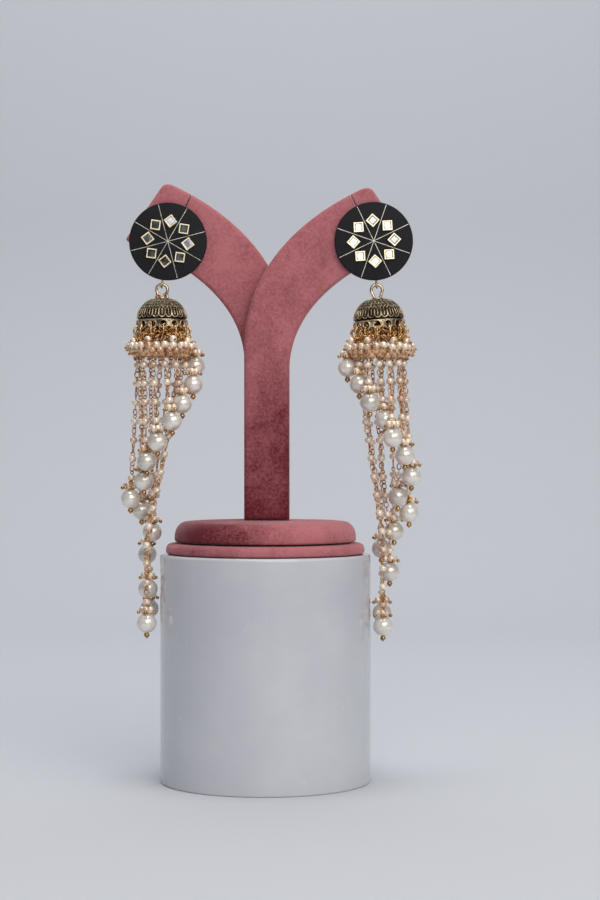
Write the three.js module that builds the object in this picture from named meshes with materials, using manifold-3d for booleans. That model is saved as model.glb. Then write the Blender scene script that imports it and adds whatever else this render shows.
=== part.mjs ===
// A pair of long drop earrings hung on the two arms of a velvet display stand.
// Millimetres, +Z up, +X to the right and +Y to the back.
// The origin is the middle of the riser's foot.
import * as THREE from "three";
import { mergeVertices } from "three/addons/utils/BufferGeometryUtils.js";
import Module from "manifold-3d";

const wasm = await Module();
wasm.setup();

// Air left between pieces that rest on each other
const seatGap = 0.3;

// Riser, a plain round block
const riserRadius = 43.6;
const riserHeight = 94;
const riserEdge = 1;
const riserEdgeSteps = 1;
const roundSides = 32;

// Velvet base, two padded tiers
const lowerTierRadius = 41.2;
const lowerTierHeight = 4.6;
const lowerTierEdge = 1.8;
const lowerTierEdgeSteps = 1;
const upperTierRadius = 37.7;
const upperTierHeight = 8.7;
const upperTierEdge = 3.7;
const upperTierEdgeSteps = 2;

// Velvet boards, a post that bends into one arm each, placed back to back
const postMiddle = 0.6;
const postWidth = 18.7;
const boardDepth = 7;
const boardBevel = 0.8;
const postHeight = 61.8;
const innerBendRise = 8;
const armReach = 59;
const armRise = 51.9;
const armEndWidth = 29.5;
const armEndLean = 55.5;
const armCorner = 2.2;
const armCornerDrop = 1.1;
const bendSegments = 7;
const leftArmLift = 2.5;
const slitWidth = 0.6;
const slitLean = 26;

// Where the pull of each bend lies, as shares of the bend's reach and rise
const outerBend = { startPull: 0.42, endReach: 0.35, endRise: 0.77 };
const innerBend = { startPull: 0.47, endReach: 0.4, endRise: 0.78 };

// Stud disc, its wire eye and the ear post behind it
const discRadius = 16.1;
const discThickness = 2.3;
const discEdge = 0.3;
const eyeRadius = 1.5;
const eyeWire = 0.4;
const eyeSink = 0.25;
const postPinRadius = 0.5;
const postPinLength = 9.6;
const postPinSides = 8;

// Round wires are drawn with a few flat sides: across the wire, and round the loop
const wireSides = 5;
const loopSteps = 10;

// Inlay lines and square stones on the disc
const inlayLength = 31.2;
const inlayWidth = 0.55;
const inlayHeight = 0.4;
const inlayLines = 4;
const stoneCount = 8;
const stoneRing = 8.4;
const bezelSide = 4;
const bezelHeight = 0.9;
const stoneWidth = 3;
const stoneTable = 2.1;
const stoneCrown = 0.5;
const stoneFacets = 8;

// Bail loop on the crown of the dome
const bailRadius = 2.3;
const bailWire = 0.6;
const bailDrop = 0.15;
const bailSteps = 14;
const collarRadius = 1.3;
const collarHeight = 0.9;
const collarSides = 8;

// Dome: a thin bell with a pierced band along its rim
const domeRadius = 10.5;
const domeHeight = 13;
const domeWall = 0.9;
const bandHeight = 3.9;
const grooveHeight = 0.8;
const grooveDepth = 0.6;
const holeCount = 14;
const holeRadius = 1.35;
const holeHeight = 2;
const holeSides = 6;
const firstHoleTurn = 6;

// Crown outline: share of the rise above the groove against share of the radius
const crownOutline = [
  { rise: 0, radius: 0.98 },
  { rise: 0.33, radius: 0.895 },
  { rise: 0.67, radius: 0.7 },
  { rise: 0.94, radius: 0.43 },
];

// Jump rings, chains of small pearls and the large pearls at their ends
const ringRadius = 1.9;
const ringWire = 0.35;
const ringPlay = 0.3;
const chainRadius = 1.5;
const chainSides = 7;
const chainPlumb = 8.2;
const chainStep = 9;
const chainLeastSteps = 3;
const baseClearance = 7;
const pearlRadius = 4;
const pearlSides = 10;
const endBallRadius = 1;
const endBallDrop = 4.75;
const endWireDrop = 6.35;

// Ring of small pearls that hangs under the rim, with its air to the chains inside it
// and to the jump rings above it. The shoulders of its section are shares of its height.
const rimPearls = { chainGap: 0.65, ringGap: 0.4, width: 4.1, height: 7.2, sides: 18 };
const rimPearlShoulders = { innerLow: 0.15, outer: 0.4, innerHigh: 0.85 };

// Each disc: middle, height above the riser's foot, and its turn outward in degrees
const leftEarring = {
  name: "left", outward: -1, discReach: 40.4, discHeight: 223.4, turn: 8, tilt: 0,
  boardFace: seatGap,
};
const rightEarring = {
  name: "right", outward: 1, discReach: 44.6, discHeight: 222.8, turn: 3.5, tilt: 4,
  boardFace: -boardDepth,
};

// Route of each chain: where its large pearl hangs, measured from the pivot in the
// wire eye. Reach is outward, depth is to the back, fall is downward. A pearl lower than
// the riser's top has its air beside the riser in place of a reach.
// The chains go round the rim from the inner side over the front.
const leftRoutes = [
  { reach: -13.8, depth: -0.7, fall: 33.9 },
  { reach: -13.2, depth: -6.6, fall: 41.9 },
  { reach: -9, depth: -11, fall: 49.9 },
  { reach: -5.2, depth: -15.8, fall: 56.9 },
  { reach: 1, depth: -13.2, fall: 65.4 },
  { reach: 5.6, depth: -10, fall: 73.4 },
  { reach: 7.2, depth: -4.2, fall: 81.4 },
  { reach: 13.2, depth: 1.5, fall: 88.9 },
  { reach: 9, depth: 7.2, fall: 93.9 },
  { reach: 4.3, depth: 3, fall: 102.9 },
  { beside: 6.2, depth: 20, fall: 112.9 },
  { beside: 1.1, depth: -4, fall: 125.9 },
  { beside: 3, depth: 13.5, fall: 135.4 },
  { beside: 2.5, depth: -12, fall: 139.4 },
];
const rightRoutes = [
  { reach: -11.9, depth: -1.5, fall: 34.2 },
  { reach: -7.2, depth: -6.3, fall: 41.2 },
  { reach: -3.1, depth: -12.8, fall: 48.7 },
  { reach: 3.2, depth: -10.2, fall: 55.7 },
  { reach: 5.9, depth: -17.5, fall: 63 },
  { reach: 11.2, depth: -9.8, fall: 70.2 },
  { reach: 14.1, depth: -4.4, fall: 78.7 },
  { reach: 8.9, depth: 1.4, fall: 87.2 },
  { reach: 13.8, depth: 7.2, fall: 94 },
  { reach: 7.8, depth: 11.6, fall: 101.7 },
  { beside: 1.2, depth: 15.6, fall: 109.2 },
  { beside: 3.9, depth: 3.8, fall: 118.2 },
  { beside: 0.8, depth: 9.5, fall: 135.7 },
  { beside: 1.8, depth: -1.8, fall: 140.2 },
];

// Colours and finishes
const finishes = {
  riser: { color: 0xeef0f2, roughness: 0.2, metalness: 0 },
  velvet: { color: 0xb0616c, roughness: 0.95, metalness: 0 },
  blackEnamel: { color: 0x232329, roughness: 0.55, metalness: 0 },
  inlay: { color: 0xd9c9a0, roughness: 0.3, metalness: 1 },
  mirror: { color: 0xd8dade, roughness: 0.05, metalness: 0.9 },
  antiqueGold: { color: 0x9a7c48, roughness: 0.4, metalness: 1 },
  pearl: { color: 0xe6ddcc, roughness: 0.25, metalness: 0 },
};

// Turns a closed geometry into a solid whose faces point out
function toSolid(geometry) {
  const bare = geometry.clone();
  bare.deleteAttribute("normal");
  bare.deleteAttribute("uv");
  const merged = mergeVertices(bare, 1e-4);
  const points = merged.getAttribute("position");
  const corner = (index) => new THREE.Vector3().fromBufferAttribute(points, index);
  const faces = [];
  let volume = 0;
  for (let at = 0; at < merged.index.count; at += 3) {
    const face = [0, 1, 2].map((step) => merged.index.getX(at + step));
    if (new Set(face).size < 3) continue;
    const [a, b, c] = face.map(corner);
    volume += a.dot(b.cross(c));
    faces.push(face);
  }
  const outward = volume < 0 ? faces.map((face) => [face[0], face[2], face[1]]) : faces;
  return new wasm.Manifold(new wasm.Mesh({
    numProp: 3,
    vertProperties: new Float32Array(points.array),
    triVerts: new Uint32Array(outward.flat()),
  }));
}

// Turns a solid back into a geometry with flat faces
function toGeometry(solid) {
  const mesh = solid.getMesh();
  const geometry = new THREE.BufferGeometry();
  geometry.setAttribute("position", new THREE.BufferAttribute(mesh.vertProperties, 3));
  geometry.setIndex(new THREE.BufferAttribute(mesh.triVerts, 1));
  geometry.computeVertexNormals();
  return geometry;
}

function joined(geometries) {
  return geometries.map(toSolid).reduce((whole, piece) => whole.add(piece));
}

// Body of revolution about Z from pairs of radius and height
function turned(profile, sides) {
  const points = profile.map(([radius, height]) => new THREE.Vector2(radius, height));
  return new THREE.LatheGeometry(points, sides).rotateX(Math.PI / 2);
}

function named(name, solid, finish) {
  const material = new THREE.MeshStandardMaterial(finish);
  const mesh = new THREE.Mesh(toGeometry(solid), material);
  mesh.name = name;
  return mesh;
}

const degrees = THREE.MathUtils.degToRad;

// Riser and the two tiers

function roundBlock(radius, height, foot, edge, edgeSteps) {
  const profile = [[0, foot], [radius, foot]];
  for (let step = 0; step <= edgeSteps; step += 1) {
    const turn = step / edgeSteps * Math.PI / 2;
    profile.push([radius - edge + edge * Math.cos(turn), foot + height - edge + edge * Math.sin(turn)]);
  }
  profile.push([0, foot + height]);
  return toSolid(turned(profile, roundSides));
}

const lowerTierFoot = riserHeight + seatGap;
const upperTierFoot = lowerTierFoot + lowerTierHeight + seatGap;
const postFoot = upperTierFoot + upperTierHeight + seatGap;

// Velvet boards

function boardOutline(lift) {
  const half = postWidth / 2;
  const bendFoot = postHeight + lift;
  const low = new THREE.Vector2(armReach, bendFoot + armRise);
  const along = new THREE.Vector2(-Math.cos(degrees(armEndLean)), Math.sin(degrees(armEndLean)));
  const tip = low.clone().addScaledVector(along, armEndWidth);
  const innerFoot = bendFoot + innerBendRise;
  const outline = new THREE.Shape();
  outline.moveTo(-half, 0);
  outline.lineTo(half, 0);
  outline.lineTo(half, bendFoot);
  outline.bezierCurveTo(
    half, bendFoot + outerBend.startPull * armRise,
    half + outerBend.endReach * (armReach - half), bendFoot + outerBend.endRise * armRise,
    low.x - armCorner, low.y - armCornerDrop,
  );
  const lowEnd = low.clone().addScaledVector(along, armCorner);
  outline.quadraticCurveTo(low.x, low.y, lowEnd.x, lowEnd.y);
  const tipStart = tip.clone().addScaledVector(along, -armCorner);
  outline.lineTo(tipStart.x, tipStart.y);
  outline.quadraticCurveTo(tip.x, tip.y, tip.x - armCorner, tip.y - armCornerDrop);
  const innerReach = tip.x + half;
  const innerRise = tip.y - innerFoot;
  outline.bezierCurveTo(
    -half + innerBend.endReach * innerReach, innerFoot + innerBend.endRise * innerRise,
    -half, innerFoot + innerBend.startPull * innerRise,
    -half, innerFoot,
  );
  return outline;
}

// Slit in the arm, cut from the upper edge to a round seat for the ear post
function slitCut(earring) {
  const length = 2 * discRadius;
  const seatRadius = postPinRadius + seatGap;
  const box = new THREE.BoxGeometry(slitWidth, 4 * boardDepth, length).translate(0, 0, length / 2);
  const seat = new THREE.CylinderGeometry(seatRadius, seatRadius, 4 * boardDepth, postPinSides);
  const cut = joined([box, seat].map((shape) => {
    shape.rotateY(degrees(-earring.outward * slitLean));
    return shape.translate(earring.outward * earring.discReach, 0, earring.discHeight);
  }));
  return cut;
}

function board(name, earring, lift, front) {
  const blank = new THREE.ExtrudeGeometry(boardOutline(lift), {
    depth: boardDepth - 2 * boardBevel,
    bevelThickness: boardBevel,
    bevelSize: boardBevel,
    bevelOffset: -boardBevel,
    bevelSegments: 1,
    curveSegments: bendSegments,
  });
  blank.translate(0, 0, boardBevel);
  blank.rotateX(Math.PI / 2);
  blank.scale(earring.outward, 1, 1);
  blank.translate(postMiddle, front + boardDepth, postFoot);
  return named(name, toSolid(blank).subtract(slitCut(earring)), finishes.velvet);
}

// Stud disc, with the wire eye soldered below it and the ear post behind it

function studDisc(earring) {
  const half = discThickness / 2;
  const profile = [
    [0, -half],
    [discRadius, -half],
    [discRadius, half - discEdge],
    [discRadius - discEdge, half],
    [0, half],
  ];
  const disc = turned(profile, roundSides).rotateX(Math.PI / 2);
  const eye = new THREE.TorusGeometry(eyeRadius, eyeWire, wireSides, loopSteps).rotateY(Math.PI / 2);
  eye.translate(0, 0, -eyeOffset);
  const pin = new THREE.CylinderGeometry(postPinRadius, postPinRadius, postPinLength, postPinSides);
  pin.translate(0, postPinLength / 2, 0);
  return named(`${earring.name}_stud_disc`, joined([disc, eye, pin]), finishes.blackEnamel);
}

// The lines of the inlay pass halfway between the stones
function inlayStar(earring) {
  const bars = [];
  for (let line = 0; line < inlayLines; line += 1) {
    const bar = new THREE.BoxGeometry(inlayLength, inlayHeight, inlayWidth);
    bars.push(bar.rotateY((line + 0.5) * Math.PI / inlayLines));
  }
  const star = named(`${earring.name}_inlay_star`, joined(bars), finishes.inlay);
  star.position.y = -discThickness / 2 - seatGap - inlayHeight / 2;
  return star;
}

// Square bezel, corner to the rim of the disc, with an eight-sided stone in it
function stone(earring, number) {
  const cornerRadius = bezelSide * Math.SQRT1_2;
  const bezel = turned([[0, 0], [cornerRadius, 0], [cornerRadius, bezelHeight], [0, bezelHeight]], 4);
  const acrossFlats = 1 / Math.cos(Math.PI / stoneFacets);
  const crown = new THREE.CylinderGeometry(
    stoneTable / 2 * acrossFlats, stoneWidth / 2 * acrossFlats, stoneCrown + bezelHeight / 2, stoneFacets,
  );
  crown.rotateY(Math.PI / stoneFacets);
  crown.rotateX(Math.PI / 2);
  crown.rotateZ(Math.PI / 4);
  crown.translate(0, 0, bezelHeight * 0.75 + stoneCrown / 2);
  const name = `${earring.name}_stone_${number + 1}`;
  const piece = named(name, joined([bezel, crown]), finishes.mirror);
  const turn = number * 2 * Math.PI / stoneCount;
  piece.rotation.set(Math.PI / 2, turn, 0, "YXZ");
  piece.position.set(stoneRing * Math.sin(turn), -discThickness / 2 - seatGap, stoneRing * Math.cos(turn));
  return piece;
}

// Bail loop with the collar that stands on the dome

const eyeOffset = discRadius + eyeRadius + eyeWire - eyeSink;
const bailFoot = 2 * bailRadius + collarHeight;

function bail(earring) {
  const loop = new THREE.TorusGeometry(bailRadius, bailWire, wireSides, bailSteps).rotateX(Math.PI / 2);
  loop.translate(0, 0, -bailRadius);
  const collar = new THREE.CylinderGeometry(collarRadius, collarRadius, collarHeight, collarSides);
  collar.rotateX(Math.PI / 2);
  collar.translate(0, 0, -bailFoot + collarHeight / 2);
  return named(`${earring.name}_bail`, joined([loop, collar]), finishes.antiqueGold);
}

// Dome, cut through at each eyelet hole of its band

const domeTop = -bailFoot - seatGap;
const rimLevel = domeTop - domeHeight;
const crownFoot = bandHeight + grooveHeight;
const crownRise = domeHeight - crownFoot;
const wallMiddle = domeRadius - domeWall / 2;
const ringLevel = rimLevel + holeHeight - holeRadius + ringPlay + ringWire - ringRadius;

function domeProfile() {
  const outer = crownOutline.map((row) => [row.radius * domeRadius, crownFoot + row.rise * crownRise]);
  const inner = crownOutline.slice(1, -1).map((row) => [
    row.radius * (domeRadius - domeWall),
    crownFoot + row.rise * crownRise - domeWall * row.rise,
  ]);
  return [
    [domeRadius - domeWall, 0],
    [domeRadius, 0],
    [domeRadius, bandHeight],
    [domeRadius - grooveDepth, bandHeight + grooveHeight / 2],
    ...outer,
    [0, domeHeight],
    [0, domeHeight - domeWall],
    ...inner.reverse(),
    [domeRadius - grooveDepth - domeWall, bandHeight + grooveHeight / 2],
    [domeRadius - domeWall, 0],
  ];
}

// Angle of each hole, from the inner side over the front
function holeTurn(number) {
  return Math.PI + degrees(firstHoleTurn) + number * 2 * Math.PI / holeCount;
}

function rimPoint(earring, number, radius, level) {
  const turn = holeTurn(number);
  const point = new THREE.Vector3(
    earring.outward * radius * Math.cos(turn), radius * Math.sin(turn), level,
  );
  return point.applyAxisAngle(new THREE.Vector3(0, 1, 0), domeTurn(earring));
}

function domeTurn(earring) {
  return -earring.outward * degrees(earring.tilt);
}

function dome(earring) {
  let shell = toSolid(turned(domeProfile(), 2 * holeCount));
  for (let number = 0; number < holeCount; number += 1) {
    const cutter = new THREE.CylinderGeometry(holeRadius, holeRadius, 4 * domeWall, holeSides);
    cutter.rotateZ(Math.PI / 2);
    cutter.translate(wallMiddle, 0, holeHeight);
    cutter.rotateZ(holeTurn(number));
    cutter.scale(earring.outward, 1, 1);
    shell = shell.subtract(toSolid(cutter));
  }
  const piece = named(`${earring.name}_dome`, shell, finishes.antiqueGold);
  piece.position.z = rimLevel;
  return piece;
}

// Ring of small pearls and gold balls under the rim
function rimPearlRing(earring) {
  const { chainGap, ringGap, width, height, sides } = rimPearls;
  const inner = wallMiddle + chainRadius + chainGap;
  const middle = inner + width / 2;
  const profile = [
    [inner, height * rimPearlShoulders.innerLow],
    [middle, 0],
    [inner + width, height * rimPearlShoulders.outer],
    [middle, height],
    [inner, height * rimPearlShoulders.innerHigh],
    [inner, height * rimPearlShoulders.innerLow],
  ];
  const ring = named(`${earring.name}_rim_pearls`, toSolid(turned(profile, sides)), finishes.pearl);
  const rimMiddle = new THREE.Vector3(0, 0, rimLevel);
  rimMiddle.applyAxisAngle(new THREE.Vector3(0, 1, 0), domeTurn(earring));
  ring.position.set(rimMiddle.x, 0, ringLevel - ringRadius - ringWire - ringGap - height);
  return ring;
}

// Chain as a plain tube along its route
function chainTube(points) {
  const route = new THREE.CurvePath();
  for (let at = 1; at < points.length; at += 1) {
    route.add(new THREE.LineCurve3(points[at - 1], points[at]));
  }
  const section = new THREE.Shape(Array.from({ length: chainSides }, (_, side) => {
    const turn = side * 2 * Math.PI / chainSides;
    return new THREE.Vector2(chainRadius * Math.cos(turn), chainRadius * Math.sin(turn));
  }));
  const steps = Math.max(chainLeastSteps, Math.round(route.getLength() / chainStep));
  return new THREE.ExtrudeGeometry(section, { steps, extrudePath: route, bevelEnabled: false });
}

// Large pearl with the gold ball and wire end under it
function endPearl() {
  const profile = [
    [0, pearlRadius],
    [pearlRadius * Math.SQRT1_2, pearlRadius * Math.SQRT1_2],
    [pearlRadius, 0],
    [pearlRadius * Math.SQRT1_2, -pearlRadius * Math.SQRT1_2],
    [endBallRadius, -endBallDrop],
    [0, -endWireDrop],
  ];
  return turned(profile, pearlSides);
}

// Middle of a large pearl, measured from the pivot
function pearlPlace(earring, route, pivot) {
  const fromRiser = riserRadius + pearlRadius + route.beside;
  const besideRiser = Math.sqrt(fromRiser ** 2 - (pivot.y + route.depth) ** 2) - Math.abs(pivot.x);
  const reach = route.reach ?? besideRiser;
  return new THREE.Vector3(earring.outward * reach, route.depth, -route.fall);
}

function strand(earring, route, number, pivot) {
  const ring = new THREE.TorusGeometry(ringRadius, ringWire, wireSides, loopSteps).rotateX(Math.PI / 2);
  ring.translate(wallMiddle, 0, ringLevel);
  ring.rotateZ(holeTurn(number));
  ring.scale(earring.outward, 1, 1);
  ring.rotateY(domeTurn(earring));
  const start = rimPoint(earring, number, wallMiddle, ringLevel - ringRadius);
  const end = pearlPlace(earring, route, pivot);
  const below = start.clone().setZ(start.z - chainPlumb);
  const points = [start, below];
  const besideBase = riserHeight + baseClearance - pivot.z;
  if (end.z + pearlRadius < besideBase - baseClearance / 2) {
    points.push(new THREE.Vector3(end.x, end.y, besideBase));
  }
  points.push(end.clone().setZ(end.z + pearlRadius * 0.7));
  const pearl = endPearl().translate(end.x, end.y, end.z);
  const label = String(number + 1).padStart(2, "0");
  return named(`${earring.name}_strand_${label}`, joined([ring, chainTube(points), pearl]), finishes.pearl);
}

// Whole earring: the stud on its arm, and the drop that hangs from the eye
function placeEarring(earring, routes) {
  const group = new THREE.Group();
  const stud = new THREE.Group();
  const turn = -earring.outward * degrees(earring.turn);
  const middle = earring.boardFace - seatGap - discThickness / 2;
  stud.position.set(earring.outward * earring.discReach, middle, earring.discHeight);
  stud.rotation.y = turn;
  stud.add(studDisc(earring), inlayStar(earring));
  for (let number = 0; number < stoneCount; number += 1) {
    stud.add(stone(earring, number));
  }
  const pivot = new THREE.Vector3(0, 0, -eyeOffset);
  pivot.applyAxisAngle(new THREE.Vector3(0, 1, 0), turn).add(stud.position);
  pivot.z -= bailDrop;
  const drop = new THREE.Group();
  drop.position.copy(pivot);
  const crown = new THREE.Group();
  crown.rotation.y = domeTurn(earring);
  crown.add(bail(earring), dome(earring));
  drop.add(crown, rimPearlRing(earring));
  routes.forEach((route, number) => drop.add(strand(earring, route, number, pivot)));
  group.add(stud, drop);
  return group;
}

const riser = roundBlock(riserRadius, riserHeight, 0, riserEdge, riserEdgeSteps);
const lowerTier = roundBlock(
  lowerTierRadius, lowerTierHeight, lowerTierFoot, lowerTierEdge, lowerTierEdgeSteps,
);
const upperTier = roundBlock(
  upperTierRadius, upperTierHeight, upperTierFoot, upperTierEdge, upperTierEdgeSteps,
);

const group = new THREE.Group();
group.add(
  named("riser", riser, finishes.riser),
  named("base_lower", lowerTier, finishes.velvet),
  named("base_upper", upperTier, finishes.velvet),
  board("board_front", rightEarring, 0, -boardDepth),
  board("board_back", leftEarring, leftArmLift, seatGap),
  placeEarring(leftEarring, leftRoutes),
  placeEarring(rightEarring, rightRoutes),
);

export default group;
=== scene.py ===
import math
import bmesh
import bpy
import numpy as np
from mathutils import Matrix, Vector


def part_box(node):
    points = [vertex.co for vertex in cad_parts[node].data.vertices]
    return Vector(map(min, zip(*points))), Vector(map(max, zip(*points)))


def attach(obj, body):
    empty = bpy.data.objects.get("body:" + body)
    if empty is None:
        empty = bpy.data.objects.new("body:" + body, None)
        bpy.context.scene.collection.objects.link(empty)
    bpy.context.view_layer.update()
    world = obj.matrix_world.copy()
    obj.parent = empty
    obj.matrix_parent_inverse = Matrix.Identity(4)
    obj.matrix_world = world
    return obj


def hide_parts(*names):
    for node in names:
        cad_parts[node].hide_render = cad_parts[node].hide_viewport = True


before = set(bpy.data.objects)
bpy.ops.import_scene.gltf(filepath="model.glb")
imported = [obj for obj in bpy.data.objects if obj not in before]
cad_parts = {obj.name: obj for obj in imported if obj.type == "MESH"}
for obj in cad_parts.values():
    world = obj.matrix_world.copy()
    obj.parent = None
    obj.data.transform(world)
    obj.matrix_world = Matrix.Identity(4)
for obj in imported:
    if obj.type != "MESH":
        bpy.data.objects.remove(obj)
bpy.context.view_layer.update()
mm = 0.001

# What both earrings share, in millimetres. The values follow the solids.
earring = {
    "seatGap": 0.3,
    "domeRadius": 10.5,
    "domeHeight": 13.0,
    "domeWall": 0.9,
    "bandHeight": 3.9,
    "grooveHeight": 0.8,
    "grooveDepth": 0.6,
    "holeCount": 14,
    "holeRadius": 1.35,
    "holeHeight": 2.0,
    "firstHoleTurn": 6.0,
    "discRadius": 16.1,
    "discThickness": 2.3,
    "eyeRadius": 1.5,
    "eyeWire": 0.4,
    "eyeSink": 0.25,
    "bailRadius": 2.3,
    "bailDrop": 0.15,
    "collarHeight": 0.9,
}
sides = {
    "left": {"outward": -1, "discTurn": 8.0, "tilt": 0.0},
    "right": {"outward": 1, "discTurn": 3.5, "tilt": 4.0},
}
eyeDrop = earring["discRadius"] + earring["eyeRadius"] + earring["eyeWire"] - earring["eyeSink"]
crownFoot = earring["bandHeight"] + earring["grooveHeight"]
rimMiddle = earring["domeRadius"] - earring["domeWall"] / 2
rimLevel = -(2 * earring["bailRadius"] + earring["collarHeight"] + earring["seatGap"]
             + earring["domeHeight"])


# Mesh tools: a chunk is a pair of points and triangles, and a piece is some chunks

def triangles(faces):
    split = []
    for face in faces:
        for step in range(1, len(face) - 1):
            split.append((face[0], face[step], face[step + 1]))
    return np.array(split, int)


def ball(radius, detail=3):
    mesh = bmesh.new()
    bmesh.ops.create_icosphere(mesh, subdivisions=detail, radius=radius)
    points = np.array([vert.co[:] for vert in mesh.verts])
    faces = triangles([[vert.index for vert in face.verts] for face in mesh.faces])
    mesh.free()
    return points, faces


def gridFaces(rows, columns, closedRows=False):
    # the columns close into rings, the rows only where asked
    faces = []
    for row in range(rows if closedRows else rows - 1):
        nextRow = (row + 1) % rows
        for column in range(columns):
            beside = (column + 1) % columns
            faces.append((row * columns + column, row * columns + beside,
                          nextRow * columns + beside, nextRow * columns + column))
    return triangles(faces)


def loopWire(major, wire, around=18, section=8, stretch=1.0):
    # wire ring in the XZ plane, stretched along Z
    turn = np.linspace(0, 2 * np.pi, around, endpoint=False)[:, None]
    roll = np.linspace(0, 2 * np.pi, section, endpoint=False)[None]
    out = major + wire * np.cos(roll)
    points = np.stack([
        out * np.cos(turn),
        wire * np.sin(roll) * np.ones_like(turn),
        out * np.sin(turn) + major * (stretch - 1) * np.sin(turn),
    ], -1).reshape(-1, 3)
    return points, gridFaces(around, section, closedRows=True)


def wireAlong(path, radius, section=8, closed=False):
    # round wire along a list of points, with flat ends where it is open
    path = np.asarray(path, float)
    radii = np.broadcast_to(radius, len(path))
    if closed:
        tangent = np.roll(path, -1, 0) - np.roll(path, 1, 0)
    else:
        tangent = np.gradient(path, axis=0)
    tangent /= np.linalg.norm(tangent, axis=1, keepdims=True)
    side = np.cross(tangent[0], [0.31, 0.87, 0.38])
    rings = []
    for at, line in enumerate(tangent):
        side = side - line * side.dot(line)
        side /= np.linalg.norm(side)
        other = np.cross(line, side)
        roll = np.linspace(0, 2 * np.pi, section, endpoint=False)[:, None]
        rings.append(path[at] + radii[at] * (np.cos(roll) * side + np.sin(roll) * other))
    points = np.concatenate(rings)
    faces = gridFaces(len(path), section, closedRows=closed)
    if not closed:
        last = (len(path) - 1) * section
        caps = [list(range(section))[::-1], [last + step for step in range(section)]]
        faces = np.concatenate([faces, triangles(caps)])
    return points, faces


def turnedShell(profile, around):
    # body of revolution about Z from rows of radius and height, open or closed on the axis
    profile = np.asarray(profile, float)
    turn = np.linspace(0, 2 * np.pi, around, endpoint=False)
    points = np.stack([
        profile[:, :1] * np.cos(turn), profile[:, :1] * np.sin(turn),
        np.repeat(profile[:, 1:], around, 1),
    ], -1).reshape(-1, 3)
    return points, gridFaces(len(profile), around)


def pathMarks(path):
    # length from the start of a path to each of its points
    return np.concatenate([[0], np.cumsum(np.linalg.norm(np.diff(path, axis=0), axis=1))])


def alongPath(path, distances):
    marks = pathMarks(path)
    return np.stack([np.interp(distances, marks, path[:, axis]) for axis in range(3)], -1)


def smoothed(path, count):
    # even steps along a path, rounded a little at its bends
    path = np.asarray(path, float)
    line = alongPath(path, np.linspace(0, pathMarks(path)[-1], count))
    for _ in range(6):
        line[1:-1] = 0.25 * line[:-2] + 0.5 * line[1:-1] + 0.25 * line[2:]
    return line


def flattened(chunk, share):
    return chunk[0] * [1, 1, share], chunk[1]


def moved(chunk, matrix):
    matrix = np.array(matrix)
    return chunk[0] @ matrix[:3, :3].T + matrix[:3, 3], chunk[1]


def stamped(chunk, matrices):
    # one chunk that repeats another at each matrix
    matrices = np.array([np.array(matrix) for matrix in matrices])
    points = np.einsum("kij,nj->kni", matrices[:, :3, :3], chunk[0]) + matrices[:, None, :3, 3]
    offsets = np.arange(len(matrices))[:, None, None] * len(chunk[0])
    return points.reshape(-1, 3), (chunk[1][None] + offsets).reshape(-1, 3)


def linked(name, data):
    thing = bpy.data.objects.new(name, data)
    bpy.context.scene.collection.objects.link(thing)
    return thing


def makePiece(name, chunks, materials, place=None, smooth=True):
    # chunks are (chunk, material number) pairs in millimetres
    points, faces, numbers, count = [], [], [], 0
    for chunk, number in chunks:
        points.append(chunk[0])
        faces.append(chunk[1] + count)
        numbers.append(np.full(len(chunk[1]), number))
        count += len(chunk[0])
    points = np.concatenate(points)
    if place is not None:
        points = moved((points, None), place)[0]
    mesh = bpy.data.meshes.new(name)
    mesh.from_pydata((points * mm).tolist(), [], np.concatenate(faces).tolist())
    for material in materials:
        mesh.materials.append(material)
    mesh.polygons.foreach_set("material_index", np.concatenate(numbers))
    mesh.polygons.foreach_set("use_smooth", np.full(len(mesh.polygons), smooth))
    mesh.validate()
    piece = linked(name, mesh)
    tidyMesh(mesh)
    return piece


def tidyMesh(mesh):
    # joins doubled points and turns the faces outward
    work = bmesh.new()
    work.from_mesh(mesh)
    bmesh.ops.remove_doubles(work, verts=work.verts, dist=1e-7)
    bmesh.ops.dissolve_degenerate(work, edges=work.edges, dist=1e-8)
    bmesh.ops.recalc_face_normals(work, faces=work.faces)
    work.to_mesh(mesh)
    work.free()


def finishPiece(piece, body, slot, *nodes):
    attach(piece, body)
    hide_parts(*nodes)


def aimed(start, direction, roll=0.0):
    # matrix whose Z axis points along a direction
    turn = Vector(direction).to_track_quat("Z", "Y").to_matrix().to_4x4()
    return Matrix.Translation(Vector(start)) @ turn @ Matrix.Rotation(roll, 4, "Z")


# Materials

def newMaterial(name, baseColor, roughness, metallic=0.0, **sockets):
    material = bpy.data.materials.new(name)
    material.use_nodes = True
    shader = material.node_tree.nodes["Principled BSDF"]
    shader.inputs["Base Color"].default_value = (*baseColor, 1)
    shader.inputs["Roughness"].default_value = roughness
    shader.inputs["Metallic"].default_value = metallic
    for label, value in sockets.items():
        shader.inputs[label.replace("_", " ")].default_value = value
    return material, material.node_tree, shader


def objectNoise(tree, scale, detail=4.0, roughness=0.6):
    coordinates = tree.nodes.new("ShaderNodeTexCoord")
    noise = tree.nodes.new("ShaderNodeTexNoise")
    noise.inputs["Scale"].default_value = scale
    noise.inputs["Detail"].default_value = detail
    noise.inputs["Roughness"].default_value = roughness
    tree.links.new(coordinates.outputs["Object"], noise.inputs["Vector"])
    return noise


def colourSpread(tree, shader, noise, dark, light, low=0.35, high=0.65, outlet="Fac"):
    ramp = tree.nodes.new("ShaderNodeValToRGB")
    ramp.color_ramp.elements[0].position = low
    ramp.color_ramp.elements[0].color = (*dark, 1)
    ramp.color_ramp.elements[1].position = high
    ramp.color_ramp.elements[1].color = (*light, 1)
    tree.links.new(noise.outputs[outlet], ramp.inputs["Fac"])
    tree.links.new(ramp.outputs["Color"], shader.inputs["Base Color"])


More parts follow.
